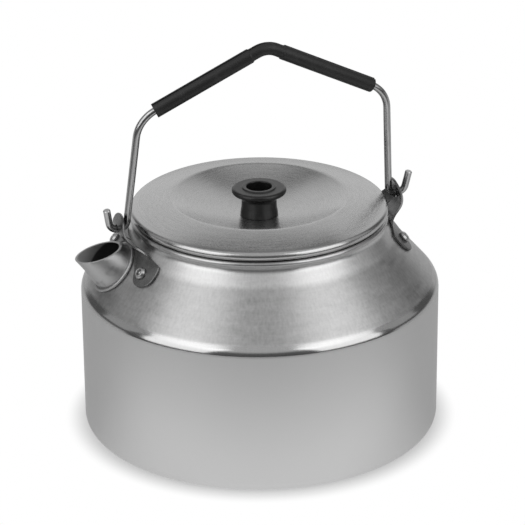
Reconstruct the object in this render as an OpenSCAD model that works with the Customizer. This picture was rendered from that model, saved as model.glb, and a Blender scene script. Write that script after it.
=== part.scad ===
// Camping kettle: spun aluminium body, short spout, lift-off lid with a
// spool knob, and a swinging wire bail held by two riveted ears.
// Millimetres, +Z up. The base stands on z = 0 with its centre at the origin.
// The spout points along -X and the bail swings about an axis along X.

/* [Body] */
// Outside diameter of the straight wall
body_d = 180; // [150:1:210]
// Height of the crease where the wall meets the shoulder
crease_z = 74.25; // [60:0.25:95]
// Rounding of the crease
crease_r = 6; // [3:0.5:9]
// Angle of the shoulder from the vertical
shoulder_ang = 41.15; // [36:0.05:46]
// Sheet thickness of the body
body_t = 1.2; // [0.8:0.1:1.8]
// Rounding round the base
base_r = 4.8; // [3:0.2:8]
// Outside diameter of the neck
neck_d = 126; // [110:1:140]
// Height of the neck wall below the rolled rim
neck_h = 2.3; // [1.5:0.1:5]
// Diameter of the wire-like roll round the rim
rim_roll = 3; // [2:0.1:4]

/* [Spout] */
// Distance from the neck to the spout's centre, up the shoulder
spout_down = 18.6; // [17:0.1:22]
// Outside diameter of the cone where it leaves the shoulder
spout_root_d = 23.8; // [18:0.2:26]
// Outside diameter of the cone a spout length away
spout_tip_d = 15.2; // [12:0.2:20]
// Length of the cone that the mouth is cut from
spout_len = 24; // [18:0.5:30]
// Height of the mouth's middle above the shoulder, along the spout
mouth_h = 13.4; // [10:0.1:18]
// Downward slope of the mouth, away from the kettle
mouth_ang = 14; // [0:0.5:25]
// Wall thickness of the spout
spout_t = 1; // [0.6:0.1:1.6]
// Outside diameter of the raised ring at the spout's foot
ring_d = 28.6; // [25:0.2:31]
// Height of the raised ring above the shoulder
ring_h = 1.2; // [0.8:0.1:2.5]
// Gap between the ring and the bracket
ring_fit = 0.8; // [0.6:0.1:1.2]
// Thickness of the flange rolled over inside the body
inner_flange = 0.8; // [0.5:0.1:1.2]

/* [Brackets] */
// Sheet thickness of the ears
ear_t = 1.2; // [0.8:0.1:1.8]
// Width of the ear's round head
ear_w = 16; // [15:0.2:17]
// Distance of the head's centre below the hook hole
ear_drop = 0.3; // [0.1:0.1:0.5]
// Distance that the ear stands out from the neck, at the hook hole
ear_out = 10.5; // [10:0.1:12]
// Diameter of the hook hole
hook_hole = 5.2; // [4.6:0.1:6.5]
// Rounding of the ear's outward bulge
bulge_r = 6; // [4:0.5:8]
// Reach of the ear's wings past its half width
wing_w = 12.2; // [11:0.2:13]
// Height of the wings above the sheet's bend, beside the ear
wing_h = 2.3; // [1.6:0.1:3]
// Width of the gap in the bracket above the spout
arch_w = 6; // [5:0.2:9]
// Angle of each foot from the middle of the bracket
foot_ang = 19.8; // [18:0.1:24]
// Width of a foot
foot_w = 16; // [13:0.5:19]
// Length of a foot, down the shoulder
foot_len = 14; // [12:0.5:16]
// Distance from a foot's lower edge to its rivet
rivet_up = 6.6; // [5:0.2:8]
// Sideways offset of the rivet, towards the spout
rivet_in = 1.2; // [0:0.1:3]

/* [Rivets] */
// Shank diameter of a rivet
rivet_d = 3.6; // [3:0.1:4.5]
// Diameter of the formed head outside
rivet_head_d = 6; // [5.2:0.1:7.5]
// Height of the formed head outside
rivet_head_h = 1.9; // [1:0.1:2.6]
// Diameter of the hollow in the formed head
rivet_hollow = 2.4; // [1.4:0.1:2.8]
// Diameter of the flat head inside the body
rivet_flat_d = 7.5; // [6:0.1:9]
// Height of the flat head inside the body
rivet_flat_h = 1; // [0.6:0.1:1.6]

/* [Bail] */
// Diameter of the bail wire
wire_d = 3.6; // [3:0.1:4.4]
// Height of the hook hole above the foot of the neck
hinge_up = 6.25; // [5.5:0.05:7.5]
// Lean of the bail towards the front, as photographed
bail_lean = 8.8; // [0:0.1:12]
// Height of the bail's peak above its hinge, before rounding
bail_h = 92; // [85:0.5:110]
// Slope of each arm, down from the peak
arm_ang = 26.9; // [22:0.1:32]
// Distance from the ear's sheet in to the leg's middle line
leg_in = 4.7; // [4.4:0.1:5.2]
// Inward slope of each leg
leg_ang = 4.9; // [3.5:0.1:6]
// Bend radius at the peak
peak_r = 11; // [8:0.5:16]
// Bend radius between arm and leg
elbow_r = 17; // [10:0.5:20]
// Bend radius inside each hook
hook_r = 4.4; // [4:0.1:4.4]
// Width of the hook, from leg to outer arm
hook_w = 8.1; // [8:0.1:9]
// Height of the hook's tip above the hinge
hook_h = 11.6; // [9:0.2:15]
// Outward slope of the hook's outer arm
hook_ang = 10; // [5:0.5:14]

/* [Grip] */
// Outside diameter of the grip on the arms
grip_d = 7.4; // [6.4:0.1:9]
// Outside diameter of the grip round the peak
grip_peak_d = 6.4; // [5.6:0.1:7]
// Half length of the grip, measured across the kettle
grip_half = 55.6; // [45:0.2:56]
// Half length of the thinner part round the peak
grip_peak_half = 8; // [6:0.5:14]
// Clearance of the grip round the wire
grip_fit = 0.05; // [0.02:0.01:0.1]
// Width of the split along the top of the grip
grip_split = 0.7; // [0.4:0.1:1.2]

/* [Lid] */
// Gap between the lid's rim and the body's rim
lid_gap = 0.3; // [0.1:0.05:0.6]
// Roll round the edge of the lid
lid_roll = 4.7; // [3.8:0.1:5]
// Sheet thickness of the lid
lid_t = 1; // [0.7:0.1:1.4]
// Diameter of the crease where the dish begins
dish_d = 88.8; // [80:0.2:96]
// Height of that crease above the lid's seat
dish_crease_h = 9.3; // [7:0.1:12]
// Crown radius of the ring outside the crease
crown_r = 140; // [110:1:200]
// Depth of the dish
dish_depth = 10; // [7:0.1:12]
// Clearance of the lid's skirt inside the neck
skirt_fit = 0.4; // [0.3:0.05:0.8]
// Depth of the skirt below the body's rim
skirt_h = 9.5; // [6:0.5:12]

/* [Knob] */
// Height of the knob
knob_h = 14.7; // [11:0.1:18]
// Diameter of the knob's upper flange
knob_flange_d = 27.2; // [22:0.2:32]
// Height of the flange's rounded edge
knob_edge = 3; // [2:0.1:4]
// Diameter of the knob's stem at its foot
knob_foot_d = 18.8; // [15:0.2:22]
// Diameter of the stem at its narrowest
knob_waist_d = 17.4; // [14:0.2:19]
// Diameter of the hole down the knob
knob_hole_d = 12.7; // [10:0.1:13.4]
// Diameter of the raised ring round the hole
knob_ring_d = 16.4; // [15:0.2:20]
// Height of the raised ring
knob_ring_h = 0.6; // [0.3:0.1:1]
// Thickness of the web at the foot of the hole
knob_web = 3; // [2:0.5:5]
// Thread diameter of the knob's screw
screw_d = 4; // [3:0.5:5]
// Head diameter of the knob's screw
screw_head_d = 8; // [7:0.2:9]
// Head height of the knob's screw
screw_head_h = 2.4; // [1.8:0.1:3]
// Clearance of the screw in its holes
screw_fit = 0.2; // [0.1:0.05:0.3]
// Outside diameter of the washer under the lid
washer_d = 11; // [9:0.5:14]
// Thickness of the washer
washer_t = 0.8; // [0.5:0.1:1.2]
// Size of the nut across its flats
nut_af = 7; // [6:0.5:8]
// Thickness of the nut
nut_t = 3.2; // [2.4:0.2:4]

/* [Hidden] */
$fn = 96;
eps = 0.01;
seat = 0.03;            // gap left between curved faces that are fixed together
big = 400;
through = 10 * body_t;   // long enough for a hole through sheets that lie on each other

body_r = body_d / 2;
neck_r = neck_d / 2;
// Directions in the plane through the axis, as [outward, up]
slope = [-sin(shoulder_ang), cos(shoulder_ang)];
normal = [cos(shoulder_ang), sin(shoulder_ang)];
crease = [body_r, crease_z];
neck_foot_z = crease_z + (body_r - neck_r) / tan(shoulder_ang);
neck_foot = [neck_r, neck_foot_z];
neck_fillet = 4.5;
roll_c = [neck_r - 0.1, neck_foot_z + neck_h + rim_roll / 2];
rim_z = roll_c[1] + rim_roll / 2;
roll_out = roll_c[0] + rim_roll / 2;
neck_in = neck_r - body_t;

spout_c = neck_foot - spout_down * slope;
hinge_z = neck_foot_z + hinge_up;
hole_x = neck_r + ear_out;
leg_x = hole_x - leg_in;

function unit(v) = v / norm(v);
function perp(v) = [-v[1], v[0]];
// Points of an arc round c from angle a0 to a1
function arc(c, r, a0, a1, n) =
    [for (i = [0:n]) c + r * [cos(a0 + (a1 - a0) * i / n), sin(a0 + (a1 - a0) * i / n)]];
// Turn at corner p of a path a-p-b, and the rounding of radius r that fits it
function turn(a, p, b) = acos(max(-1, min(1, unit(p - a) * unit(b - p))));
function cut(a, p, b, r) = r * tan(turn(a, p, b) / 2);
function start_pt(a, p, b, r) = p + unit(a - p) * cut(a, p, b, r);
function end_pt(a, p, b, r) = p + unit(b - p) * cut(a, p, b, r);
function mid_pt(a, p, b, r) =
    p + unit(unit(a - p) + unit(b - p)) * r / cos(turn(a, p, b) / 2);
function ang(v) = atan2(v[1], v[0]);
function near(a, b) = a + ((b - a + 540) % 360 - 180);
function round_corner(a, p, b, r, n) =
    let (c = mid_pt(a, p, b, r), a0 = ang(start_pt(a, p, b, r) - c),
         a1 = near(a0, ang(end_pt(a, p, b, r) - c)))
    arc(c, r, a0, a1, n);

// A solid of revolution round the kettle's axis, from [radius, height] points
module spin(pts) rotate_extrude() polygon(pts);

// Moves a shape from its own axis to the spout's axis
module at_spout() {
    translate([-spout_c[0], 0, spout_c[1]]) rotate([0, -90 + shoulder_ang, 0]) children();
}

// Outside of the body as a solid, grown by g, to seat other pieces on
module body_outside(g) {
    p = crease + g * (normal + [1, 0]) / (1 + normal[0]);
    q = neck_foot + g * (normal + [1, 0]) / (1 + normal[0]);
    spin([[0, -g], [body_r + g, -g], p, q, [neck_r + g, rim_z + 40], [0, rim_z + 40]]);
}

// Body: one spun shell with a rolled rim
shoulder_in = crease - body_t * (normal + [1, 0]) / (1 + normal[0]);
neck_in_foot = neck_foot - body_t * (normal + [1, 0]) / (1 + normal[0]);
module body_shell() color("silver") {
    low = [body_r, 0];
    out_pts = concat(
        [[0, 0]],
        round_corner([0, 0], low, crease, base_r, 8),
        round_corner(low, crease, neck_foot, crease_r, 8),
        round_corner(crease, neck_foot, [neck_r, rim_z], neck_fillet, 5),
        [[neck_r, rim_z - rim_roll / 2], [neck_in, rim_z - rim_roll / 2]]);
    low_in = [body_r - body_t, body_t];
    in_pts = concat(
        round_corner([neck_in, rim_z], neck_in_foot, shoulder_in, neck_fillet + body_t, 5),
        round_corner(neck_in_foot, shoulder_in, low_in, crease_r - body_t, 8),
        round_corner(shoulder_in, low_in, [0, body_t], base_r - body_t, 8),
        [[0, body_t]]);
    difference() {
        union() {
            spin(concat(out_pts, in_pts));
            rotate_extrude() difference() {
                translate(roll_c) circle(d = rim_roll);
                translate([0, rim_z - 2 * rim_roll]) square([neck_in, 4 * rim_roll]);
            }
        }
        at_spout() cylinder(d = spout_root_d, h = 2 * through, center = true);
        for (side = [0, 180], a = [-1, 1]) rotate([0, 0, side])
            at_rivet(a) cylinder(d = rivet_d, h = through, center = true);
    }
}

// Spout: a cone with a raised ring outside and a flange rolled over inside
cone_slope = (spout_root_d - spout_tip_d) / 2 / spout_len;
module mouth_keep() {
    translate([-spout_c[0], 0, spout_c[1]]) rotate([0, -90 + shoulder_ang, 0])
        translate([0, 0, mouth_h]) rotate([0, 90 - shoulder_ang - mouth_ang, 0])
            translate([-big / 2, -big / 2, -big]) cube([big, big, big]);
}
module shoulder_band(g0, g1) {
    difference() { body_outside(g1); body_outside(g0); }
}
module spout() color("gainsboro") {
    bore_root = spout_root_d / 2 - spout_t;
    difference() {
        union() {
            intersection() {
                mouth_keep();
                difference() {
                    at_spout() cylinder(r1 = spout_root_d / 2, r2 = spout_tip_d / 2, h = spout_len);
                    body_outside(seat);
                }
            }
            at_spout() translate([0, 0, -4]) cylinder(d = spout_root_d - 2 * seat, h = 5);
            intersection() {
                at_spout() cylinder(d = ring_d, h = 16, center = true);
                shoulder_band(seat, ring_h);
            }
            intersection() {
                at_spout() cylinder(d = ring_d, h = 16, center = true);
                shoulder_band(-body_t - inner_flange, -body_t - seat);
            }
        }
        at_spout() cylinder(r1 = bore_root, r2 = bore_root - cone_slope * spout_len, h = spout_len);
        at_spout() translate([0, 0, -10]) cylinder(r = bore_root, h = 10 + eps);
        body_outside(-body_t - inner_flange);
    }
}

// Brackets: one pressed sheet each, with two feet on the shoulder and an ear
ear_c = hinge_z - ear_drop;
foot_top = 5.2;         // from the neck down to a foot's upper edge, past the sheet's bend
bend_down = 3.1;        // from the neck down to the sheet's bend
foot_mid = neck_foot - (foot_top + foot_len / 2) * slope;
rivet_mid = neck_foot - (foot_top + foot_len - rivet_up) * slope;
rivet_ang = foot_ang - rivet_in / foot_mid[0] * 180 / PI;
module at_foot(a) rotate([0, 0, a * foot_ang])
    translate([foot_mid[0], 0, foot_mid[1]]) rotate([0, 90 - shoulder_ang, 0]) children();
module at_rivet(a) rotate([0, 0, a * rivet_ang])
    translate([rivet_mid[0], 0, rivet_mid[1]]) rotate([0, 90 - shoulder_ang, 0]) children();

// Middle line of the sheet in the plane through the axis
sheet_g = seat + ear_t / 2;
bend_p = neck_foot - bend_down * slope + sheet_g * normal;
bulge_p = [hole_x + 1.1, hinge_z - 1.4];
top_p = [hole_x - 3.1, ear_c + ear_w / 2 + 2];
low_p = neck_foot - (foot_top + foot_len + 6) * slope + sheet_g * normal;
module sheet() {
    h = ear_t / 2;
    n1 = perp(unit(low_p - bend_p));
    n2 = perp(unit(bend_p - bulge_p));
    n3 = perp(unit(bulge_p - top_p));
    b1 = h * (n1 + n2) / (1 + n1 * n2);
    b2 = h * (n2 + n3) / (1 + n2 * n3);
    low_o = low_p - h * n1; bend_o = bend_p - b1; bulge_o = bulge_p - b2; top_o = top_p - h * n3;
    low_i = low_p + h * n1; bend_i = bend_p + b1; bulge_i = bulge_p + b2; top_i = top_p + h * n3;
    spin(concat(
        [top_o], round_corner(top_o, bulge_o, bend_o, bulge_r + h, 10),
        round_corner(bulge_o, bend_o, low_o, 0.9, 3), [low_o, low_i],
        round_corner(low_i, bend_i, bulge_i, 0.9 + ear_t, 4),
        round_corner(bend_i, bulge_i, top_i, bulge_r - h, 10), [top_i]));
}
module ear_outline() {
    w = ear_w / 2;
    z0 = bend_p[1];
    flare = [[w * 0.84, ear_c + w * 0.42], [w + wing_w * 0.06, ear_c + ear_w * 0.12],
             [w + wing_w * 0.16, ear_c + ear_w * 0.05], [w + wing_w * 0.25, ear_c - ear_w * 0.04],
             [w + wing_w * 0.32, ear_c - ear_w * 0.14],
             [w + wing_w * 0.45, z0 + wing_h * 1.3], [w + wing_w * 0.58, z0 + wing_h * 0.9],
             [w + wing_w * 0.72, z0 + wing_h * 0.6], [w + wing_w * 0.87, z0 + wing_h * 0.28],
             [w + wing_w, z0 - wing_h * 0.1], [w + wing_w, z0 - wing_h * 2]];
    difference() {
        union() {
            translate([0, ear_c]) circle(r = w);
            polygon(concat(flare, [for (i = [len(flare) - 1:-1:0]) [-flare[i][0], flare[i][1]]]));
        }
        translate([0, z0 - 1.6]) circle(d = arch_w);
    }
}
module foot_outline() {
    r = foot_w / 2;
    intersection() {
        translate([foot_len / 2 - r, 0]) circle(r = r);
        translate([-foot_len / 2, -r]) square([foot_len, foot_w]);
    }
    translate([-foot_len / 2, -r]) square([foot_len - r, foot_w]);
}
module bracket() {
    difference() {
        intersection() {
            sheet();
            union() {
                rotate([90, 0, 90]) linear_extrude(big) ear_outline();
                for (a = [-1, 1]) at_foot(a) translate([0, 0, -through])
                    linear_extrude(through + 2 * ear_t) foot_outline();
            }
        }
        translate([spout_c[0], 0, spout_c[1]]) rotate([0, 90 - shoulder_ang, 0])
            cylinder(d = ring_d + 2 * ring_fit, h = 2 * through, center = true);
        translate([0, 0, hinge_z]) rotate([0, 90, 0]) cylinder(d = hook_hole, h = big);
        for (a = [-1, 1]) at_rivet(a) cylinder(d = rivet_d, h = through, center = true);
    }
}
module rear_bracket() color("dimgray") bracket();
module spout_bracket() color("dimgray") rotate([0, 0, 180]) bracket();

// Rivets: hollow formed head outside, flat head inside, through foot and shoulder
// The flat head's edge also clears the hollow of the curved wall
flat_gap = seat + pow(rivet_flat_d, 2) / 8 * cos(shoulder_ang) / (rivet_mid[0] - body_t);
module rivet_solid() {
    top = seat + ear_t + seat;
    difference() {
        union() {
            translate([0, 0, -body_t - flat_gap - rivet_flat_h]) cylinder(d = rivet_flat_d, h = rivet_flat_h);
            translate([0, 0, -body_t - flat_gap - eps])
                cylinder(d = rivet_d - 2 * seat, h = body_t + flat_gap + top + 2 * eps);
            translate([0, 0, top]) cylinder(d = rivet_head_d, h = rivet_head_h * 0.5);
            translate([0, 0, top + rivet_head_h * 0.5])
                cylinder(d1 = rivet_head_d, d2 = rivet_head_d * 0.72, h = rivet_head_h * 0.5);
        }
        translate([0, 0, top]) cylinder(d = rivet_hollow, h = rivet_head_h + 1);
    }
}
module rivet_spout_left() color("lightgray") rotate([0, 0, 180]) at_rivet(1) rivet_solid();
module rivet_spout_right() color("lightgray") rotate([0, 0, 180]) at_rivet(-1) rivet_solid();
module rivet_rear_left() color("lightgray") at_rivet(1) rivet_solid();
module rivet_rear_right() color("lightgray") at_rivet(-1) rivet_solid();

// Bail: one bent wire, drawn flat in its own plane as [across, up from the hinge]
p_peak = [0, bail_h];
leg_dir = [-sin(leg_ang), cos(leg_ang)];
arm_dir = [cos(arm_ang), -sin(arm_ang)];
leg_foot = [leg_x, 0];
// Where the arm's line meets the leg's line
arm_t = (leg_foot[0] * leg_dir[1] - (leg_foot[1] - bail_h) * leg_dir[0])
      / (arm_dir[0] * leg_dir[1] - arm_dir[1] * leg_dir[0]);
p_elbow = p_peak + arm_t * arm_dir;
p_hook = [leg_x + hook_w, 0];
p_tip = p_hook + hook_h * [tan(hook_ang), 1];
p_peak_l = [-p_elbow[0], p_elbow[1]];

// Puts the bail's plane upright on the hinge axis, leaning as at rest
module on_hinge() {
    translate([0, 0, hinge_z]) rotate([bail_lean, 0, 0]) rotate([90, 0, 0]) children();
}
// Straight runs reach a little way into the bends, which are a hair thinner
lap = 0.15;
thin = 0.04;
module rod(a, b, d, lap_a = lap, lap_b = lap) {
    u = unit(b - a);
    translate([a[0] - lap_a * u[0], a[1] - lap_a * u[1], 0]) rotate([0, 0, ang(u)])
        rotate([0, 90, 0]) cylinder(d = d, h = norm(b - a) + lap_a + lap_b);
}
module bend(a, p, b, r, d) {
    c = mid_pt(a, p, b, r);
    a0 = ang(start_pt(a, p, b, r) - c);
    a1 = near(a0, ang(end_pt(a, p, b, r) - c));
    translate([c[0], c[1], 0]) rotate([0, 0, min(a0, a1)])
        rotate_extrude(angle = abs(a1 - a0)) translate([r, 0]) circle(d = d);
}
module half_wire(d) {
    db = d - thin;
    rod(end_pt(p_peak_l, p_peak, p_elbow, peak_r), start_pt(p_peak, p_elbow, leg_foot, elbow_r), d);
    bend(p_peak, p_elbow, leg_foot, elbow_r, db);
    rod(end_pt(p_peak, p_elbow, leg_foot, elbow_r), start_pt(p_elbow, leg_foot, p_hook, hook_r), d);
    bend(p_elbow, leg_foot, p_hook, hook_r, db);
    rod(end_pt(p_elbow, leg_foot, p_hook, hook_r), start_pt(leg_foot, p_hook, p_tip, hook_r), d);
    bend(leg_foot, p_hook, p_tip, hook_r, db);
    rod(end_pt(leg_foot, p_hook, p_tip, hook_r), p_tip, d, lap, 0);
}
module bail_wire() color("gray") on_hinge() {
    bend(p_peak_l, p_peak, p_elbow, peak_r, wire_d - thin);
    half_wire(wire_d);
    mirror([1, 0, 0]) half_wire(wire_d);
}

// Grip: a split sleeve round the peak, thinner where the wire bends
grip_end = p_peak + grip_half / cos(arm_ang) * arm_dir;
grip_neck = p_peak + grip_peak_half / cos(arm_ang) * arm_dir;
arm_start = end_pt(p_peak_l, p_peak, p_elbow, peak_r);
module both() {
    children();
    mirror([1, 0, 0]) children();
}
module bail_grip() color("black") on_hinge() {
    bore = wire_d + 2 * grip_fit;
    c = mid_pt(p_peak_l, p_peak, p_elbow, peak_r);
    difference() {
        union() {
            bend(p_peak_l, p_peak, p_elbow, peak_r, grip_peak_d - thin);
            both() {
                rod(arm_start, grip_neck, grip_peak_d, lap, 0.5);
                rod(grip_neck, grip_end, grip_d, 0, 0);
            }
        }
        bend(p_peak_l, p_peak, p_elbow, peak_r, bore - thin / 2);
        both() rod(arm_start, grip_end, bore, lap, 1);
        translate([c[0], c[1], -grip_split / 2]) rotate([0, 0, arm_ang - 90])
            cube([peak_r + grip_d, peak_r + grip_d, grip_split]);
        both() translate([arm_start[0], arm_start[1], -grip_split / 2])
            rotate([0, 0, -arm_ang]) translate([-lap, 0, 0]) cube([big, grip_d, grip_split]);
    }
}

// Lid: one spun sheet with a rolled edge, a crowned ring, a dish and a skirt
seat_z = rim_z + lid_gap;
lid_c = [roll_out - lid_roll / 2, seat_z + lid_roll / 2];
dish_r = dish_d / 2;
crease_top = seat_z + dish_crease_h - lid_gap;
hub_r = knob_foot_d / 2 + 1.6;
hub_z = crease_top - dish_depth;
crown_ang = 9.6;
crown_c = [dish_r - crown_r * sin(crown_ang), crease_top - crown_r * cos(crown_ang)];
function crown(r, x) = crown_c[1] + sqrt(r * r - pow(x - crown_c[0], 2));
function dish(x) = hub_z + dish_depth * (x * x - hub_r * hub_r) / (dish_r * dish_r - hub_r * hub_r);
// Where the crown runs on to the roll
crown_end = lid_c[0] + lid_roll / 2 * sin(17);
skirt_out = neck_in - skirt_fit;
skirt_low = rim_z - skirt_h;
module lid_shell() color("gainsboro") {
    n = 14;
    top = concat(
        [[0, hub_z]], [for (i = [0:n]) let (x = hub_r + (dish_r - hub_r) * i / n) [x, dish(x)]],
        [for (i = [1:8]) let (x = dish_r + (crown_end - dish_r) * i / 8) [x, crown(crown_r, x)]]);
    under = concat(
        [for (i = [8:-1:1]) let (x = dish_r + (skirt_out - lid_t - dish_r) * i / 8)
            [x, crown(crown_r - lid_t, x)]],
        [for (i = [n:-1:0]) let (x = hub_r + (dish_r - hub_r) * i / n) [x, dish(x) - lid_t]],
        [[0, hub_z - lid_t]]);
    difference() {
        union() {
            spin(concat(top, [lid_c, [skirt_out, seat_z], [skirt_out, skirt_low],
                [skirt_out - lid_t, skirt_low]], under));
            rotate_extrude() difference() {
                translate(lid_c) circle(d = lid_roll);
                square([skirt_out - lid_t, 2 * crease_top]);
            }
        }
        translate([0, 0, hub_z - 5]) cylinder(d = screw_d + 2 * screw_fit, h = 10);
    }
}

// Knob: a turned plastic spool with a stepped hole down to its screw
knob_z = hub_z + seat;
knob_top = knob_z + knob_h;
module knob() color("black") {
    fr = knob_flange_d / 2;
    e = knob_edge / 2;
    rim = knob_top - knob_ring_h - e;
    difference() {
        spin(concat(
            [[0, knob_z], [knob_foot_d / 2, knob_z], [knob_foot_d / 2, knob_z + 0.8],
             [knob_waist_d / 2 + 0.15, knob_z + 4], [knob_waist_d / 2, rim - 4.6],
             [knob_waist_d / 2 + 0.9, rim - 3.2], [knob_waist_d / 2 + 2.4, rim - 2.2]],
            arc([fr - e, rim], e, -75, 90, 8),
            [[knob_ring_d / 2 + 0.5, knob_top - knob_ring_h], [knob_ring_d / 2, knob_top],
             [0, knob_top]]));
        translate([0, 0, knob_z + knob_web]) cylinder(d = knob_hole_d, h = knob_h);
        translate([0, 0, knob_z - 1]) cylinder(d = screw_d + 2 * screw_fit, h = knob_h);
    }
}

// Screw down the knob's hole, with a washer and a nut under the lid
screw_top = knob_z + knob_web + seat;
nut_top = hub_z - lid_t - seat - washer_t - seat;
module knob_screw() color("silver") {
    difference() {
        union() {
            translate([0, 0, screw_top]) cylinder(d = screw_head_d, h = screw_head_h * 0.6);
            translate([0, 0, screw_top + screw_head_h * 0.6])
                cylinder(d1 = screw_head_d, d2 = screw_head_d * 0.7, h = screw_head_h * 0.4);
            translate([0, 0, nut_top - nut_t - 1.2])
                cylinder(d = screw_d, h = screw_top - nut_top + nut_t + 1.2 + eps);
        }
        translate([-screw_head_d / 2 - 1, -0.5, screw_top + screw_head_h * 0.5])
            cube([screw_head_d + 2, 1, screw_head_h]);
    }
}
module knob_washer() color("silver") difference() {
    translate([0, 0, nut_top + seat]) cylinder(d = washer_d, h = washer_t);
    translate([0, 0, nut_top - 1]) cylinder(d = screw_d + 2 * screw_fit, h = washer_t + 2);
}
module knob_nut() color("silver") difference() {
    translate([0, 0, nut_top - nut_t]) cylinder(d = nut_af / cos(30), h = nut_t, $fn = 6);
    translate([0, 0, nut_top - nut_t - 1]) cylinder(d = screw_d + 2 * seat, h = nut_t + 2);
}

body_shell();
spout();
spout_bracket();
rear_bracket();
rivet_spout_left();
rivet_spout_right();
rivet_rear_left();
rivet_rear_right();
bail_wire();
bail_grip();
lid_shell();
knob();
knob_screw();
knob_washer();
knob_nut();
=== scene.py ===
import math
import bpy
from mathutils import Matrix, Vector


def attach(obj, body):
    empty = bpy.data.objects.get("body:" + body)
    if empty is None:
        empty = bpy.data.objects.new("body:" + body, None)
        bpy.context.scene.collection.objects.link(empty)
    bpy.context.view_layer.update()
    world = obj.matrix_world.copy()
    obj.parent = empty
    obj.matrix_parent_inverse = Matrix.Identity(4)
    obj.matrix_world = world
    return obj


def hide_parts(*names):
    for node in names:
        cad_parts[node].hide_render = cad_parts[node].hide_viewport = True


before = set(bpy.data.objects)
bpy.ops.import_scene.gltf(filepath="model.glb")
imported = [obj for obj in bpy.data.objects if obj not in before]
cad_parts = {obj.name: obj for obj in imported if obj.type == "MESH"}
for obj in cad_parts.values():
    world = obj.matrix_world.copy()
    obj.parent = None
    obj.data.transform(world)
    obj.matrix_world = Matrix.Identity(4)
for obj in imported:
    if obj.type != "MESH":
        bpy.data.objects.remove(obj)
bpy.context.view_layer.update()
bpy.ops.object.select_all(action="DESELECT")

# Camera: a long lens from the left front, 23.5 degrees above the table, rolled by half a degree
# as the photograph is.
cam_at, cam_to = Vector((-0.39057, -1.20667, 0.63367)), Vector((0.001357, -0.000441, 0.083005))
cam_roll = math.radians(-0.4816)
cam_ahead = (cam_to - cam_at).normalized()
cam_right = cam_ahead.cross(Vector((0, 0, 1))).normalized()
cam_up = cam_right.cross(cam_ahead)
cam_x = cam_right * math.cos(cam_roll) + cam_up * math.sin(cam_roll)
cam_y = cam_up * math.cos(cam_roll) - cam_right * math.sin(cam_roll)
cam_turn = Matrix((cam_x, cam_y, -cam_ahead)).transposed().to_4x4()
bpy.ops.object.camera_add()
camera = bpy.context.object
camera.matrix_world = Matrix.Translation(cam_at) @ cam_turn
camera.data.sensor_width, camera.data.lens = 36, 188.48
bpy.context.scene.camera = camera
bpy.context.scene.view_settings.view_transform = "Standard"


# Studio: a white table whose paper is darker in front, a soft box on each side of the camera and
# a weak fill beside the kettle, in a dim room that is paler behind the kettle and overhead. The
# table and the sky are white to the camera by themselves, with no light added for it.
class Sock:
    """One output of a node, with arithmetic that adds Math nodes to its tree."""

    def __init__(self, made, out):
        self.made, self.out = made, out

    def op(self, kind, *values):
        """A Math node of some values, which are outputs or numbers."""
        return self.made.node("ShaderNodeMath", {"operation": kind}, dict(enumerate(values)))

    def __add__(self, v): return self.op("ADD", self, v)
    def __radd__(self, v): return self.op("ADD", v, self)
    def __sub__(self, v): return self.op("SUBTRACT", self, v)
    def __rsub__(self, v): return self.op("SUBTRACT", v, self)
    def __mul__(self, v): return self.op("MULTIPLY", self, v)
    def __truediv__(self, v): return self.op("DIVIDE", self, v)
    def __pow__(self, v): return self.op("POWER", self, v)


class Nodes:
    """A node tree that is filled by one method."""

    def __init__(self, tree):
        self.tree = tree
        tree.nodes.clear()

    def node(self, kind, settings=None, sockets=None, out=0):
        """Adds a node, links its sockets or sets their numbers, and gives one of its outputs."""
        n = self.tree.nodes.new(kind)
        for key, value in (settings or {}).items():
            setattr(n, key, value)
        for key, value in (sockets or {}).items():
            if isinstance(value, Sock):
                self.tree.links.new(value.out, n.inputs[key])
            else:
                n.inputs[key].default_value = value
        return Sock(self, n.outputs[out]) if n.outputs else None

    def smooth(self, value, low, high, to_low=0.0, to_high=1.0):
        """A soft step of a value, from to_low at low to to_high at high."""
        return self.node("ShaderNodeMapRange", {"interpolation_type": "SMOOTHSTEP"},
                         {"Value": value, "From Min": low, "From Max": high,
                          "To Min": to_low, "To Max": to_high})

    def parts(self, vector):
        """The x, y and z of a vector."""
        n = self.node("ShaderNodeSeparateXYZ", None, {"Vector": vector}).out.node
        return [Sock(self, n.outputs[i]) for i in range(3)]

    def place(self):
        """Object coordinates, in metres."""
        return self.node("ShaderNodeTexCoord", out=3)

    def grey(self, value):
        return self.node("ShaderNodeCombineColor", None, {0: value, 1: value, 2: value})


to_camera = Vector((-0.30796, -0.95140, 0)).normalized()
to_left = Vector((to_camera.y, -to_camera.x, 0))
room = bpy.context.scene.world or bpy.data.worlds.new("room")
bpy.context.scene.world = room
room.use_nodes = True
sky = Nodes(room.node_tree)
room_grey, behind_grey, above_grey = 0.12, 0.65, 0.5
sky_x, sky_y, sky_z = sky.parts(sky.node("ShaderNodeTexCoord"))
toward = sky_x * to_camera.x + sky_y * to_camera.y
behind = sky.smooth(toward / (1.0001 - sky_z * sky_z) ** 0.5, -0.72, -0.92)
low = sky.smooth(sky_z, 0.81, 0.68)
high = sky.smooth(sky_z + toward * 0.3, 0.62, 0.9)
sky_light = sky.grey(room_grey + behind * low * behind_grey + high * above_grey)
sky_shade = sky.node("ShaderNodeBackground", None, {"Color": sky_light, "Strength": 1.0})
white_sky = sky.node("ShaderNodeBackground", None, {"Color": (1, 1, 1, 1), "Strength": 1.0})
sky_seen = sky.node("ShaderNodeLightPath")
sky_mix = sky.node("ShaderNodeMixShader", None, {0: sky_seen, 1: sky_shade, 2: white_sky})
sky.node("ShaderNodeOutputWorld", None, {"Surface": sky_mix})

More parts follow.
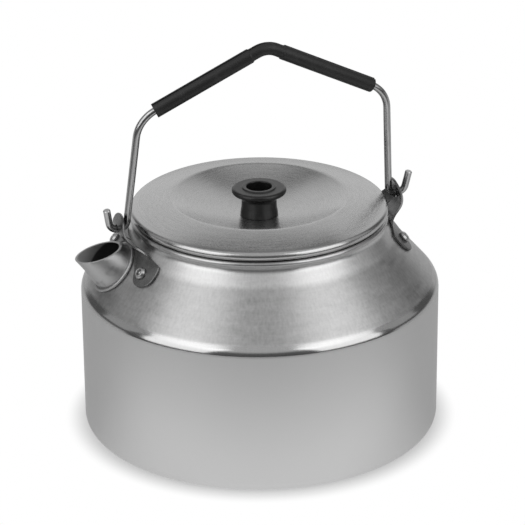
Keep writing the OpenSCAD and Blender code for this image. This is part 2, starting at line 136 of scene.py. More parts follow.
bpy.ops.mesh.primitive_plane_add(size=40)
table = bpy.context.object
table.name = "table"
table_paint = bpy.data.materials.new("table_white")
table_paint.use_nodes = True
paint = Nodes(table_paint.node_tree)
paper_grey, front_darker = 0.6, 0.52
white = paint.node("ShaderNodeEmission", None, {"Color": (1, 1, 1, 1), "Strength": 1.0})
ray = paint.node("ShaderNodeLightPath").out.node.outputs
ray_kinds = ("Is Camera Ray", "Is Glossy Ray", "Is Transmission Ray")
seen, mirrored, through = (Sock(paint, ray[kind]) for kind in ray_kinds)
floor_x, floor_y, _ = paint.parts(paint.place())
from_kettle = (floor_x * floor_x + floor_y * floor_y) ** 0.5
ahead = paint.smooth(floor_x * to_camera.x + floor_y * to_camera.y, 0.0, 0.11)
tone = paint.grey(paper_grey - ahead * paint.smooth(from_kettle, 0.2, 0.45, 0.0, front_darker))
paper = paint.node("ShaderNodeBsdfPrincipled", None, {"Base Color": tone, "Roughness": 0.9})
# Near its foot the kettle's shadow shows on the paper, and the metal mirrors the paper there
white_seen = paint.smooth(from_kettle, 0.087, 0.101, 0.4, 1.0)
white_mirrored = 0.25 + ahead * paint.smooth(from_kettle, 0.13, 0.4, 0.66, -0.25)
whiteness = seen * white_seen + (mirrored + through) * white_mirrored
table_mix = paint.node("ShaderNodeMixShader", None, {0: whiteness, 1: paper, 2: white})
paint.node("ShaderNodeOutputMaterial", None, {"Surface": table_mix})
table.data.materials.append(table_paint)


def soft_box(name, side, turn, away, height, width, tall, watts):
    """A soft box, turned away from the camera by an angle and aimed at the kettle."""
    turn = math.radians(turn)
    across = to_camera * math.cos(turn) + to_left * side * math.sin(turn)
    at = across * away + Vector((0, 0, height))
    bpy.ops.object.light_add(type="AREA", location=at)
    lamp = bpy.context.object
    lamp.name = name
    lamp.rotation_euler = (Vector((0, 0, 0.08)) - at).to_track_quat("-Z", "Y").to_euler()
    lamp.data.shape = "RECTANGLE"
    lamp.data.size, lamp.data.size_y = width, tall
    lamp.data.energy = watts


for box_name, box_side, box_turn in (("left_box", 1, 53), ("right_box", -1, 56)):
    soft_box(box_name, box_side, box_turn, away=0.98, height=0.62, width=0.9, tall=1.05, watts=4.3)
for box_name, box_side in (("left_fill", 1), ("right_fill", -1)):
    soft_box(box_name, box_side, 100, away=1.0, height=0.7, width=0.55, tall=0.9, watts=0.5)


# Body: one shell of spun aluminium, with a blasted satin wall, a soft crease, a cone that is
# turned bright on the lathe, and a rim rolled outwards. Outlines are in mm, finishes in metres.
MM = 0.001


def arc(centre, radius, start, end, steps):
    """Points (across, up) of an arc, angles in degrees."""
    return [(centre[0] + radius * math.cos(math.radians(start + (end - start) * i / steps)),
             centre[1] + radius * math.sin(math.radians(start + (end - start) * i / steps)))
            for i in range(steps + 1)]


def fillet(before, at, after, radius):
    """Start, end and centre of the rounding of a corner, and the turn in radians."""
    before, at, after = (Vector(p) for p in (before, at, after))
    u, v = (at - before).normalized(), (after - at).normalized()
    turn = u.angle(v)
    cut = radius * math.tan(turn / 2)
    centre = at + (v - u).normalized() * radius / math.cos(turn / 2)
    return at - u * cut, at + v * cut, centre, turn


def rounded(corners, steps=12):
    """An outline of (across, up, radius) corners, rounded, with its long runs divided."""
    flat = [Vector(c[:2]) for c in corners]
    outline = [flat[0]]
    for i in range(1, len(corners) - 1):
        if len(corners[i]) < 3:
            outline.append(flat[i])
            continue
        start, end, centre, turn = fillet(flat[i - 1], flat[i], flat[i + 1], corners[i][2])
        arm = start - centre
        side = 1 if (flat[i] - flat[i - 1]).cross(flat[i + 1] - flat[i]) > 0 else -1
        for k in range(steps + 1):
            outline.append(centre + Matrix.Rotation(side * turn * k / steps, 2) @ arm)
    outline.append(flat[-1])
    full = [outline[0]]
    for p in outline[1:]:
        run = (p - full[-1]).length
        if run > 3:
            q = full[-1]
            full += [q.lerp(p, t) for t in (0.5 / run, 0.25, 0.5, 0.75, 1 - 0.5 / run)]
        full.append(p)
    return full


def spun(name, outline, steps=256):
    """Turns an outline of (across, up) points round the z axis, as on a lathe."""
    bpy.ops.object.select_all(action="DESELECT")
    bpy.ops.mesh.primitive_plane_add(size=0.001)
    piece = bpy.context.object
    piece.name = piece.data.name = name
    bpy.ops.object.mode_set(mode="EDIT")
    bpy.ops.mesh.merge(type="CENTER")
    points = [Vector((p[0] * MM, 0, p[1] * MM)) for p in outline]
    bpy.ops.transform.translate(value=points[0])
    for a, b in zip(points, points[1:]):
        bpy.ops.mesh.extrude_region_move(TRANSFORM_OT_translate={"value": b - a})
    bpy.ops.mesh.select_all(action="SELECT")
    bpy.ops.mesh.spin(steps=steps, angle=2 * math.pi, center=(0, 0, 0), axis=(0, 0, 1))
    bpy.ops.mesh.select_all(action="SELECT")
    bpy.ops.mesh.remove_doubles(threshold=2e-6)
    bpy.ops.mesh.normals_make_consistent(inside=False)
    bpy.ops.object.mode_set(mode="OBJECT")
    return piece


def pick(piece):
    """Makes a piece the only selected one, and the active one."""
    bpy.ops.object.select_all(action="DESELECT")
    piece.select_set(True)
    bpy.context.view_layer.objects.active = piece


def smoothed(piece, degrees=35):
    """Smooth shading, with edges sharper than an angle kept."""
    pick(piece)
    bpy.ops.object.shade_smooth_by_angle(angle=math.radians(degrees))


def cut_with(piece, cutter):
    """Cuts a hole and throws the cutter away."""
    pick(piece)
    hole = piece.modifiers.new("hole", "BOOLEAN")
    hole.operation, hole.solver, hole.object = "DIFFERENCE", "EXACT", cutter
    bpy.ops.object.modifier_apply(modifier="hole")
    bpy.data.objects.remove(cutter)


def outward_normals():
    """Turns all the normals of the mesh in edit mode outwards, and leaves edit mode."""
    bpy.ops.mesh.select_all(action="SELECT")
    bpy.ops.mesh.normals_make_consistent(inside=False)
    bpy.ops.object.mode_set(mode="OBJECT")


wall_r, crease_z, neck_r, neck_z, sheet = 90, 74.25, 63, 105.146, 1.2
lean = math.radians(41.15)
rim_up, rim_r = 2.3, 1.5
rim_at = (neck_r - 0.1, neck_z + rim_up + rim_r)
inner_r, inner_neck_r = wall_r - sheet, neck_r - sheet
body_outline = (
    rounded([(0, 0), (wall_r, 0, 4.8), (wall_r, crease_z, 6), (neck_r, neck_z, 4.5),
             (neck_r, rim_at[1] - rim_r)])
    + arc(rim_at, rim_r, -84, 137, 18)
    + rounded([(inner_neck_r, rim_at[1]), (inner_neck_r, 104.7, 5.7), (inner_r, 73.8, 4.8),
               (inner_r, sheet, 3.6), (0, sheet)]))
body = spun("body", body_outline)


def down_slope(distance, side=1):
    """The point at a distance down the shoulder's slope, from the corner of the neck."""
    return Vector((side * (neck_r + distance * math.sin(lean)), 0,
                   neck_z - distance * math.cos(lean)))


spout_foot, spout_turn, spout_hole_r = down_slope(18.6, -1), lean - math.pi / 2, 11.9
bpy.ops.mesh.primitive_cylinder_add(vertices=96, radius=spout_hole_r * MM, depth=24 * MM,
                                    location=spout_foot * MM, rotation=(0, spout_turn, 0))
cut_with(body, bpy.context.object)
smoothed(body)


def finish(name, build, **plain):
    """A material with one Principled shader, with plain numbers and what build returns."""
    made = bpy.data.materials.new(name)
    made.use_nodes = True
    nodes = Nodes(made.node_tree)
    sockets = {key.replace("_", " "): value for key, value in plain.items()}
    sockets.update(build(nodes))
    shade = nodes.node("ShaderNodeBsdfPrincipled", None, sockets)
    nodes.node("ShaderNodeOutputMaterial", None, {"Surface": shade})
    return made


def noise(nodes, vector, scale, detail=2.0, rough=0.5):
    """A noise between 0 and 1 round a half."""
    return nodes.node("ShaderNodeTexNoise", None,
                      {"Vector": vector, "Scale": scale, "Detail": detail, "Roughness": rough})


def vary(pattern, amount):
    """A noise as a change to either side of zero, by up to half the amount."""
    return (pattern - 0.5) * amount


def bump(nodes, height, strength, depth):
    return nodes.node("ShaderNodeBump", None,
                      {"Height": height, "Strength": strength, "Distance": depth})


def blasted(nodes):
    """Fine blasted grain with faint clouds, as on the drawn wall, and duller towards its top."""
    place = nodes.place()
    _, _, height = nodes.parts(place)
    clouds, grain = noise(nodes, place, 22, 3), noise(nodes, place, 2600, 1)
    return {"Base Color": nodes.grey(0.6 + vary(clouds, 0.04) + vary(grain, 0.03)),
            "Roughness": nodes.smooth(height, 0.0, 0.07, 0.38, 0.46) + vary(clouds, 0.05),
            "Normal": bump(nodes, grain, 0.12, 0.02 * MM)}


def lathe_place(nodes, squeeze, stretch):
    """Coordinates that run round the axis slowly and outwards fast, to make turned lines."""
    x, y, z = nodes.parts(nodes.place())
    out = (x * x + y * y) ** 0.5
    lines = {0: x / out * stretch, 1: y / out * stretch, 2: (out + z * 0.6) * squeeze}
    return nodes.node("ShaderNodeCombineXYZ", None, lines), out, z


def turned(tone, gloss, rolled_gloss, depth, rolled):
    """Lathe-turned metal: fine rings, broken grains along them, burnished where rolled, and a
    painted highlight, a lighter colour in a band at the height of the foot of the body's neck.
    """
    def build(nodes):
        rings_at, out, z = lathe_place(nodes, 1500, 5)
        grains_at, _, _ = lathe_place(nodes, 1900, 60)
        rings, grains = noise(nodes, rings_at, 1, 3, 0.7), noise(nodes, grains_at, 1, 2, 0.6)
        burnished = rolled(nodes, out, z)
        cut = 1 - burnished * 0.8
        # Painted highlight: the base colour is lighter in a band along the foot of the neck.
        neck_foot_highlight = nodes.smooth(z, 0.0975, 0.1005) * nodes.smooth(z, 0.108, 0.1045)
        marks = (vary(rings, 0.26) + vary(grains, 0.26)) * cut
        dulling = (vary(grains, 0.14) + vary(rings, 0.14)) * cut
        return {"Base Color": nodes.grey(tone + neck_foot_highlight * 0.2 + marks),
                "Roughness": gloss + burnished * (rolled_gloss - gloss) + dulling,
                "Normal": bump(nodes, (rings * 0.6 + grains * 0.4) * cut, 0.35, depth)}
    return build


def body_rolled(nodes, out, z):
    """The crease at the foot of the cone, and half as much the neck and rim."""
    return nodes.smooth(z, 0.0785, 0.0765) + nodes.smooth(z, 0.104, 0.106) * 0.5


cone_look = turned(0.5, 0.42, 0.17, 0.02 * MM, body_rolled)
body.data.materials.append(finish("satin_aluminium", blasted, Metallic=1.0))
body.data.materials.append(finish("turned_aluminium", cone_look, Metallic=1.0, Anisotropic=0.6,
                                  Anisotropic_Rotation=0.25))
turned_from = crease_z - 1.3
for face in body.data.polygons:
    middle, up = face.center / MM, face.normal.z
    face.material_index = 1 if middle.z > turned_from and up > -0.3 else 0
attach(body, "kettle")
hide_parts("body_shell")


# Spout: a drawn aluminium cone whose foot is rolled into a ring on the shoulder and over a flange
# inside it. The mouth is cut level-ish and its lip is rounded.
spout_side = [(12.5, 1.0), (12.35, 2), (12.0, 4), (11.45, 6), (10.55, 9), (9.7, 12), (8.8, 16),
              (8.1, 20), (7.5, 24)]
flange_in, flange_out, flange_low, flange_top = 10.9, 14.2, -2.03, -1.23
spout_outline = (
    [(flange_in, flange_low), (flange_out, flange_low), (flange_out, flange_top),
     (11.85, flange_top), (11.85, 0.03), (13.4, 0.03)]
    + arc((13.55, 0.78), 0.75, -80, 170, 12) + [(12.62, 0.72)] + spout_side
    + [(r - 1, h) for r, h in reversed(spout_side)] + [(flange_in, flange_low)])
spout = spun("spout_cone", spout_outline, 128)
mouth_up, mouth_tilt = 13.4, math.pi / 2 - lean - math.radians(14)
mouth_normal = Vector((math.sin(mouth_tilt), 0, math.cos(mouth_tilt)))
bpy.ops.object.mode_set(mode="EDIT")
bpy.ops.mesh.select_all(action="SELECT")
bpy.ops.mesh.bisect(plane_co=(0, 0, mouth_up * MM), plane_no=mouth_normal, clear_outer=True)
bpy.ops.mesh.bridge_edge_loops()
outward_normals()
round_low, round_high = 1.3, 8
for v in spout.data.vertices:
    # The foot follows the round of the shoulder, and the cone above it runs true
    fade = min(max((round_high - v.co.z / MM) / (round_high - round_low), 0), 1)
    shoulder_r = -spout_foot.x * MM - math.sin(lean) * v.co.x
    v.co.z -= fade * fade * (3 - 2 * fade) * math.cos(lean) * v.co.y ** 2 / 2 / shoulder_r
lip = spout.modifiers.new("lip", "BEVEL")
lip.width, lip.segments, lip.limit_method, lip.angle_limit = 0.42 * MM, 3, "ANGLE", math.radians(50)
spout.location, spout.rotation_euler = spout_foot * MM, (0, spout_turn, 0)
pick(spout)
bpy.ops.object.modifier_apply(modifier="lip")
bpy.ops.object.transform_apply(location=True, rotation=True)
smoothed(spout, 40)


def drawn(nodes):
    """Satin metal with soft clouds and darker smudges."""
    place = nodes.place()
    clouds, smudges = noise(nodes, place, 90, 3), noise(nodes, place, 150, 2)
    grain = noise(nodes, place, 1800, 2)
    smudged = nodes.smooth(smudges, 0.54, 0.72)
    tone = 0.47 + vary(clouds, 0.12) + vary(grain, 0.05) - smudged * 0.14
    return {"Base Color": nodes.grey(tone),
            "Roughness": 0.48 + vary(clouds, 0.12),
            "Normal": bump(nodes, grain, 0.2, 0.02 * MM)}


spout_axis = Vector((-math.cos(lean), 0, math.sin(lean)))


def dull(nodes):
    """Unpolished metal inside the cone, with painted shade that darkens it deeper in, towards the
    body.
    """
    place = nodes.place()
    x, _, z = nodes.parts(place)
    along = x * spout_axis.x + z * spout_axis.z - spout_foot.dot(spout_axis) * MM
    clouds = noise(nodes, place, 120, 3)
    # Painted shade: the inside's colour grows darker deeper in the cone, towards the body.
    deep_shade = nodes.smooth(along, 0.0076, 0.0092, 0.05, 0.38)
    return {"Base Color": nodes.grey(deep_shade + vary(clouds, 0.08)),
            "Roughness": 0.6 + vary(clouds, 0.1)}


spout.data.materials.append(finish("drawn_aluminium", drawn, Metallic=1.0))
spout.data.materials.append(finish("dull_aluminium", dull, Metallic=0.3))
bore_r = 11.7
for face in spout.data.polygons:
    outward = face.center - spout_foot * MM
    outward -= spout_axis * outward.dot(spout_axis)
    inside = face.normal.dot(outward.normalized()) < -0.5 and outward.length < bore_r * MM
    face.material_index = 1 if inside else 0
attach(spout, "kettle")
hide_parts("spout")


# Ears: two pressed sheets of dark steel, one over the spout and one behind, each with two feet on
# the shoulder and one hole for the bail. Their edges are tumbled round.
sheet_line = rounded([(70.4, 121.1), (74.6, 109.996, 6), (65.514, 103.226, 1.5),
                      (80.06, 86.585)], 16)
head_z, head_r, foot_bulge = 108.9, 10.2, 1.75
hinge_z, ear_hole_x, ear_hole_r = 111.396, 73.5, 2.4
# From the head to the foot's end: height and half width of the inner edge, then of the outer edge
ear_rows = [
    (119.1, 0, 116.11, 7.21), (115.4, 0, 112.9, 9.4), (112.8, 0, 110.4, 10.8),
    (110.4, 0, 108.5, 11.9), (108.2, 0, 107.0, 12.9), (106.3, 0, 105.9, 14.1),
    (104.6, 0.5, 105.1, 15.6), (103.9, 2.0, 104.5, 17.1), (103.1, 2.9, 103.8, 18.8),
    (102.3, 4.9, 102.8, 20.6), (101.2, 8.0, 101.7, 27.2), (99.9, 10.1, 100.9, 29.7),
    (98.4, 12.2, 99.0, 30.9), (97.3, 14.6, 97.2, 31.6), (96.1, 17.2, 94.9, 32.1),
    (92.9, 20.6, 92.9, 31.2)]
top_z, _, top_side_z, top_side = ear_rows[0]


def sheet_radius(height):
    """How far out the middle of the ear's sheet stands at a height."""
    for (r0, z0), (r1, z1) in zip(sheet_line, sheet_line[1:]):
        if z1 <= height <= z0:
            return r0 + (r1 - r0) * (z0 - height) / max(z0 - z1, 1e-9)
    return sheet_line[-1][0]


rows, columns, blended_rows = len(ear_rows) - 1, 6, 3
bpy.ops.object.select_all(action="DESELECT")
bpy.ops.mesh.primitive_grid_add(x_subdivisions=rows, y_subdivisions=columns, size=1)
ear = bpy.context.object
ear.name = ear.data.name = "back_ear"
for v in ear.data.vertices:
    row, t = round((v.co.x + 0.5) * rows), v.co.y + 0.5
    in_z, in_y, out_z, out_y = ear_rows[row]
    height, side = in_z + (out_z - in_z) * t, in_y + (out_y - in_y) * t
    # The head is half a disc, and the foot ends in an arc
    head = max(1 - row / blended_rows, 0)
    disc_z, disc_y = head_z + head_r * math.cos(math.pi / 4 * t), head_r * math.sin(math.pi / 4 * t)
    height += head * (disc_z - (top_z + (top_side_z - top_z) * t))
    side += head * (disc_y - top_side * t)
    height -= max(1 - (rows - row) / blended_rows, 0) * foot_bulge * 4 * t * (1 - t)
    radius = sheet_radius(height)
    v.co = Vector((math.sqrt(radius ** 2 - side ** 2), side, height)) * MM
halves = ear.modifiers.new("halves", "MIRROR")
halves.use_axis, halves.merge_threshold = (False, True, False), 1e-5
bpy.ops.object.modifier_apply(modifier="halves")
bpy.ops.object.mode_set(mode="EDIT")
bpy.ops.mesh.select_all(action="SELECT")
bpy.ops.mesh.remove_doubles(threshold=1e-5)
outward_normals()
gauge = ear.modifiers.new("gauge", "SOLIDIFY")
gauge.thickness, gauge.offset = sheet * MM, 0
tumbled = ear.modifiers.new("tumbled", "BEVEL")
tumbled.width, tumbled.segments = 0.28 * MM, 2
tumbled.limit_method, tumbled.angle_limit = "ANGLE", math.radians(50)
pressing = ear.modifiers.new("pressing", "SUBSURF")
pressing.levels = pressing.render_levels = 2
for step_name in ("gauge", "tumbled", "pressing"):
    bpy.ops.object.modifier_apply(modifier=step_name)
bpy.ops.mesh.primitive_cylinder_add(vertices=48, radius=ear_hole_r * MM, depth=40 * MM,
                                    location=(ear_hole_x * MM, 0, hinge_z * MM),
                                    rotation=(0, math.pi / 2, 0))
cut_with(ear, bpy.context.object)
smoothed(ear, 40)


def pressed(nodes):
    """Dark polished sheet with cloudy stains and fine scratches."""
    place = nodes.place()
    clouds, scratches = noise(nodes, place, 120, 4, 0.6), noise(nodes, place, 900, 3, 0.7)
    return {"Base Color": nodes.grey(0.17 + vary(clouds, 0.34)),
            "Roughness": 0.27 + vary(scratches, 0.16),
            "Normal": bump(nodes, scratches, 0.25, 0.02 * MM)}


ear.data.materials.append(finish("pressed_steel", pressed, Metallic=1.0))
bpy.ops.object.duplicate()
front_ear = bpy.context.object
front_ear.name = front_ear.data.name = "front_ear"
front_ear.rotation_euler = (0, 0, math.pi)
bpy.ops.object.transform_apply(rotation=True)
for piece, node in ((ear, "rear_bracket"), (front_ear, "spout_bracket")):
    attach(piece, "kettle")
    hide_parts(node)


# Rivets: four aluminium rivets with hollow heads formed outside the ears and flat ones inside.
# One is modelled upright, and its copies are carried to the ears' feet.
rivet_outline = (
    [(0, -2.33), (3.4, -2.33), (3.75, -2.1), (3.75, -1.4), (1.77, -1.36), (1.77, 1.2), (2.9, 1.26)]
    + rounded([(2.9, 1.26), (3.1, 2.0, 0.4), (2.35, 3.15, 0.7), (1.5, 3.2, 0.35), (1.05, 1.7, 0.4),
               (0, 1.5)], 6))
rivet_mid, rivet_apart = down_slope(12.6), 18.83


def formed(nodes):
    """Bright metal with the marks of the tool that formed it."""
    marks = noise(nodes, nodes.place(), 1100, 3, 0.6)
    return {"Base Color": nodes.grey(0.42 + vary(marks, 0.3)), "Roughness": 0.3 + vary(marks, 0.12),
            "Normal": bump(nodes, marks, 0.5, 0.05 * MM)}


first_rivet = spun("rivet_head", rivet_outline, 48)
smoothed(first_rivet, 50)
first_rivet.data.materials.append(finish("formed_aluminium", formed, Metallic=1.0))
to_slope = Matrix.Translation(rivet_mid * MM) @ Matrix.Rotation(math.pi / 2 - lean, 4, "Y")
for rivet_node, turn in (
        ("rivet_spout_left", 180 + rivet_apart), ("rivet_spout_right", 180 - rivet_apart),
        ("rivet_rear_left", rivet_apart), ("rivet_rear_right", -rivet_apart)):
    pick(first_rivet)
    bpy.ops.object.duplicate()
    rivet = bpy.context.object
    rivet.name = rivet.data.name = rivet_node.replace("rivet", "rivet_head")
    rivet.matrix_world = Matrix.Rotation(math.radians(turn), 4, "Z") @ to_slope
    bpy.ops.object.transform_apply(location=True, rotation=True)
    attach(rivet, "kettle")
    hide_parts(rivet_node)
bpy.data.objects.remove(first_rivet)


# Bail: one length of bright steel wire, bent at the peak and the elbows and hooked into the ears.
# It leans towards the camera, as photographed.
hinge = Vector((0, 0, hinge_z))
bail_lean = math.radians(8.8)
bail_up = Vector((0, -math.sin(bail_lean), math.cos(bail_lean)))
bail_out = Vector((0, -math.cos(bail_lean), -math.sin(bail_lean)))


def on_bail(p):
    """A point of the bail's own plane, in metres."""
    return (hinge + Vector((p[0], 0, 0)) + bail_up * p[1]) * MM


def push(a, b):
    """Extrudes the selected end from a to b, two points of the bail's plane."""
    bpy.ops.mesh.extrude_region_move(TRANSFORM_OT_translate={"value": on_bail(b) - on_bail(a)})


def widen(scale, about):
    """Makes the selected end thicker or thinner."""
    bpy.ops.transform.resize(value=(scale, scale, scale), center_override=on_bail(about))


def follow(path, bends, steps=14):
    """Carries the selected end along a bent path, a straight run and a bend at a time."""
    at = Vector(path[0])
    for i in range(1, len(path) - 1):
        start, end, centre, turn = fillet(path[i - 1], path[i], path[i + 1], bends[i])
        push(at, start)
        into, onward = Vector(path[i]) - Vector(path[i - 1]), Vector(path[i + 1]) - Vector(path[i])
        angle = -turn if into.cross(onward) > 0 else turn
        bpy.ops.mesh.spin(steps=steps, angle=angle, center=on_bail(centre), axis=bail_out)
        at = end
    push(at, path[-1])


leg_x, leg_slope, arm_slope, peak = 68.796, math.radians(4.9), math.radians(26.9), 92
hook_out, hook_up, hook_splay = 8.1, 11.6, math.radians(10)
wire_r, end_bevel, hook_bend, elbow_bend, peak_bend = 1.8, 0.35, 4.4, 17, 11
run = (leg_x - peak * math.tan(leg_slope)) / (1 - math.tan(arm_slope) * math.tan(leg_slope))
elbow = (run, peak - run * math.tan(arm_slope))
tip = (leg_x + hook_out + hook_up * math.tan(hook_splay), hook_up)
half_path = [tip, (leg_x + hook_out, 0), (leg_x, 0), elbow]
half_bends = [0, hook_bend, hook_bend, elbow_bend]
wire_path = half_path + [(0, peak)] + [(-x, y) for x, y in reversed(half_path)]
wire_bends = half_bends + [peak_bend] + half_bends[::-1]
down = (Vector(wire_path[1]) - Vector(wire_path[0])).normalized()
down_3d = on_bail(down) - on_bail((0, 0))
down_turn = down_3d.to_track_quat("Z", "Y").to_matrix().to_4x4()
bpy.ops.object.select_all(action="DESELECT")
bpy.ops.mesh.primitive_circle_add(vertices=28, radius=(wire_r - end_bevel) * MM, fill_type="NGON")
wire = bpy.context.object
wire.name = wire.data.name = "bail_wire_bent"
wire.matrix_world = Matrix.Translation(on_bail(tip)) @ down_turn
bpy.ops.object.transform_apply(location=True, rotation=True)
bpy.ops.object.mode_set(mode="EDIT")
bpy.ops.mesh.select_all(action="SELECT")
grow, far_tip = wire_r / (wire_r - end_bevel), (-tip[0], tip[1])
wire_path[0] = Vector(tip) + down * end_bevel
wire_path[-1] = Vector((-wire_path[0].x, wire_path[0].y))
push(tip, wire_path[0])
widen(grow, wire_path[0])
follow(wire_path, wire_bends)
push(wire_path[-1], far_tip)
widen(1 / grow, far_tip)
outward_normals()
smoothed(wire, 30)


def drawn_wire(nodes):
    """Streaks along the wire, from the die."""
    place = nodes.place()
    x, y, z = nodes.parts(place)
    along = nodes.node("ShaderNodeCombineXYZ", None, {0: x * 1400, 1: y * 1400, 2: z * 24})
    streaks, spots = noise(nodes, along, 1, 2, 0.6), noise(nodes, place, 260, 3, 0.6)
    return {"Base Color": nodes.grey(0.44 + vary(streaks, 0.30) + vary(spots, 0.12)),
            "Roughness": 0.22 + vary(streaks, 0.12),
            "Normal": bump(nodes, streaks, 0.3, 0.03 * MM)}


wire.data.materials.append(finish("drawn_steel", drawn_wire, Metallic=1.0))
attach(wire, "bail")
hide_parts("bail_wire")


# Grip: a black plastic sleeve, split along its top and pushed over the peak of the bail. It is
# thick on the arms and thinner where it turns the peak.
grip_r, grip_thin, grip_bore, slot_half = 3.7, 3.2, 1.85, 0.34
grip_half, thin_half, thin_fade = 55.6, 8, 0.35
grip_end = Vector((-grip_half, peak - grip_half * math.tan(arm_slope)))
grip_neck = Vector((-thin_half, peak - thin_half * math.tan(arm_slope)))
arm_up = Vector((math.cos(arm_slope), math.sin(arm_slope)))
arm_3d = (on_bail(arm_up) - on_bail((0, 0))).normalized()
bpy.ops.object.select_all(action="DESELECT")
bpy.ops.mesh.primitive_circle_add(vertices=48, radius=grip_r * MM, fill_type="NGON")
grip = bpy.context.object
grip.name = grip.data.name = "grip_sleeve"
bpy.ops.object.mode_set(mode="EDIT")
bpy.ops.mesh.select_all(action="SELECT")
bpy.ops.mesh.inset(thickness=(grip_r - grip_bore) * MM)
bpy.ops.mesh.delete(type="FACE")
bpy.ops.object.mode_set(mode="OBJECT")
for v in grip.data.vertices:
    # The split: the two rows of points beside the top are drawn to its edges
    if v.co.y > 0 and abs(v.co.x) < 0.12 * v.co.y and abs(v.co.x) > 1e-6:
        v.co.x = math.copysign(slot_half * MM, v.co.x)
bpy.ops.object.mode_set(mode="EDIT")
bpy.ops.mesh.select_all(action="DESELECT")
bpy.ops.object.mode_set(mode="OBJECT")
for v in grip.data.vertices:
    v.select = v.co.y > 0 and abs(v.co.x) < 0.1 * slot_half * MM
bpy.ops.object.mode_set(mode="EDIT")
bpy.ops.mesh.delete(type="VERT")
bpy.ops.object.mode_set(mode="OBJECT")
grip_side = arm_3d.cross(bail_out).normalized()
if grip_side.z < 0:
    grip_side = -grip_side
grip_turn = Matrix((grip_side.cross(arm_3d), grip_side, arm_3d)).transposed().to_4x4()
grip.matrix_world = Matrix.Translation(on_bail(grip_end)) @ grip_turn
bpy.ops.object.transform_apply(location=True, rotation=True)
bpy.ops.object.mode_set(mode="EDIT")
bpy.ops.mesh.select_all(action="SELECT")
shrink, step = grip_thin / grip_r, arm_up * thin_fade
far_neck, far_end = Vector((-grip_neck.x, grip_neck.y)), Vector((-grip_end.x, grip_end.y))
far_step = Vector((step.x, -step.y))
push(grip_end, grip_neck - step)
push(grip_neck - step, grip_neck + step)
widen(shrink, grip_neck + step)
follow([grip_neck + step, (0, peak), far_neck - far_step], [0, peak_bend, 0], 16)
push(far_neck - far_step, far_neck + far_step)
widen(1 / shrink, far_neck + far_step)
push(far_neck + far_step, far_end)
outward_normals()
round_edge = grip.modifiers.new("round_edge", "BEVEL")
round_edge.width, round_edge.segments = 0.3 * MM, 3
round_edge.limit_method, round_edge.angle_limit = "ANGLE", math.radians(40)
bpy.ops.object.modifier_apply(modifier="round_edge")
smoothed(grip, 35)


def moulded(tone, gloss, depth):
    """Black plastic with a fine dull grain and a few pale scuffs."""
    def build(nodes):
        place = nodes.place()
        grain, scuffs = noise(nodes, place, 1500, 3, 0.6), noise(nodes, place, 140, 4, 0.7)
        return {"Base Color": nodes.grey(tone + nodes.smooth(scuffs, 0.5, 0.8) * 0.02),
                "Roughness": gloss + vary(grain, 0.16) + vary(scuffs, 0.16),
                "Normal": bump(nodes, grain, 0.35, depth)}
    return build


grip.data.materials.append(finish("grip_black", moulded(0.012, 0.5, 0.04 * MM), Metallic=0.0))
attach(grip, "bail")
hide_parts("bail_grip")


# Lid: one spun sheet with a wide crowned ring, a shallow dish for the knob, a rolled edge and a
# skirt down inside the neck. The top is turned to a soft satin.
seat_z, hub_z, hub_r = 110.746, 109.746, 11
dish_r, dish_depth, dish_edge = 44.4, 10, 42.9
crown_r, crown_x, crown_z = 140, 21.052, -18.29
lid_sheet, screw_r, roll_r = 1, 2.2, 2.35
skirt_out, skirt_in, skirt_foot = 61.4, 60.4, 100.95


def crown(radius, x):
    """Height of the crowned ring at a distance from the axis, on one of its two faces."""
    return crown_z + math.sqrt(radius ** 2 - (x - crown_x) ** 2)


def dish(x):
    """Height of the dish's top at a distance from the axis."""
    return hub_z + dish_depth * (x * x - hub_r ** 2) / (dish_r ** 2 - hub_r ** 2)


dish_across = [hub_r + (dish_edge - hub_r) * i / 24 for i in range(1, 25)]
lid_top = ([(screw_r, hub_z), (hub_r, hub_z)] + [(x, dish(x)) for x in dish_across]
           + [(43.7, 119.44), (44.4, 119.6), (45.2, 119.6)]
           + [(x, crown(crown_r, x)) for x in (46, 47, 49, 51, 53, 55, 57, 59, 60.5, 61.5)])
lid_under = ([(x, crown(crown_r - lid_sheet, x)) for x in (60.2, 58, 55, 52, 49, 46)]
             + [(44.4, 118.72)]
             + [(x, dish(x) - lid_sheet) for x in (42, 38, 34, 30, 26, 22, 18, 14, 11, screw_r)])
lid_skirt = [(skirt_out + 0.2, seat_z + 0.1), (skirt_out, seat_z), (skirt_out, seat_z - 1),
             (skirt_out, skirt_foot + 0.25), (skirt_out - 0.2, skirt_foot),
             (skirt_in + 0.2, skirt_foot), (skirt_in, skirt_foot + 0.25), (skirt_in, 111)]
lid_roll = arc((62.05, seat_z + roll_r), roll_r, 73, -90, 22)
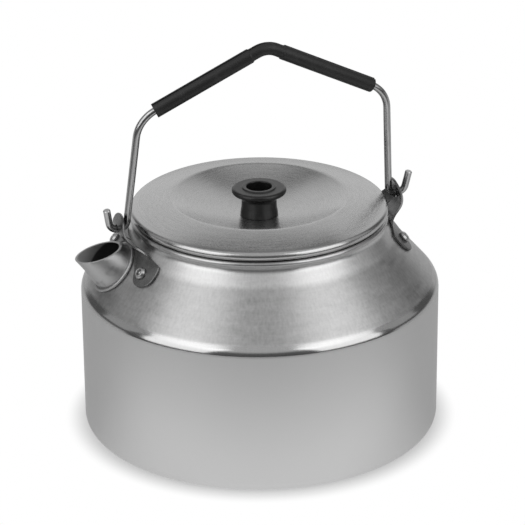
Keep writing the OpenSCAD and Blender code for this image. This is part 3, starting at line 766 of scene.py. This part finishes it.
lid = spun("lid_plate", lid_top + lid_roll + lid_skirt + lid_under + [(screw_r, hub_z)])
smoothed(lid, 30)


def lid_rolled(nodes, out, z):
    """The lid's rolled edge."""
    return nodes.smooth(out, 0.0605, 0.062)


lid_look = turned(0.5, 0.28, 0.24, 0.012 * MM, lid_rolled)
lid.data.materials.append(finish("lid_aluminium", lid_look, Metallic=1.0, Anisotropic=0.5,
                                 Anisotropic_Rotation=0.25))
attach(lid, "lid")
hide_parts("lid_shell")


# Knob: a turned black spool with a raised ring round the hole for its screw. It stands in the
# lid's dish.
knob_z = hub_z + 0.03
knob_top, knob_floor, knob_hole_r = knob_z + 14.7, knob_z + 3, 6.35
knob_outline = (
    rounded([(screw_r, knob_z), (9.4, knob_z, 0.3), (9.35, knob_z + 1.2, 0.5),
             (8.85, knob_z + 4, 4), (8.7, knob_z + 8.2, 2), (10.4, knob_z + 10.3, 1.6),
             (12.6, knob_top - 3.4)], 8)
    + arc((12.1, knob_top - 2.1), 1.5, -70, 88, 14)
    + rounded([(11.8, knob_top - 0.62), (8.75, knob_top - 0.6, 0.3), (8.2, knob_top, 0.3),
               (knob_hole_r, knob_top, 0.5), (knob_hole_r, knob_floor, 0.3),
               (screw_r, knob_floor)], 6)
    + [(screw_r, knob_z)])
knob = spun("knob_spool", knob_outline, 128)
smoothed(knob, 32)
knob.data.materials.append(finish("knob_black", moulded(0.008, 0.34, 0.02 * MM), Metallic=0.0))
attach(knob, "lid")
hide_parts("knob")


# Screw, washer and nut: bright steel. The screw's head lies deep in the knob's hole, and the
# washer and nut hold it under the lid.
def bright(nodes):
    """Bright steel with faint marks."""
    marks = noise(nodes, nodes.place(), 900, 3, 0.6)
    return {"Base Color": nodes.grey(0.5 + vary(marks, 0.2)), "Roughness": 0.25 + vary(marks, 0.15),
            "Normal": bump(nodes, marks, 0.3, 0.03 * MM)}


screw_finish = finish("bright_steel", bright, Metallic=1.0)
for small in ("knob_screw", "knob_washer", "knob_nut"):
    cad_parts[small].data.materials.clear()
    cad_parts[small].data.materials.append(screw_finish)
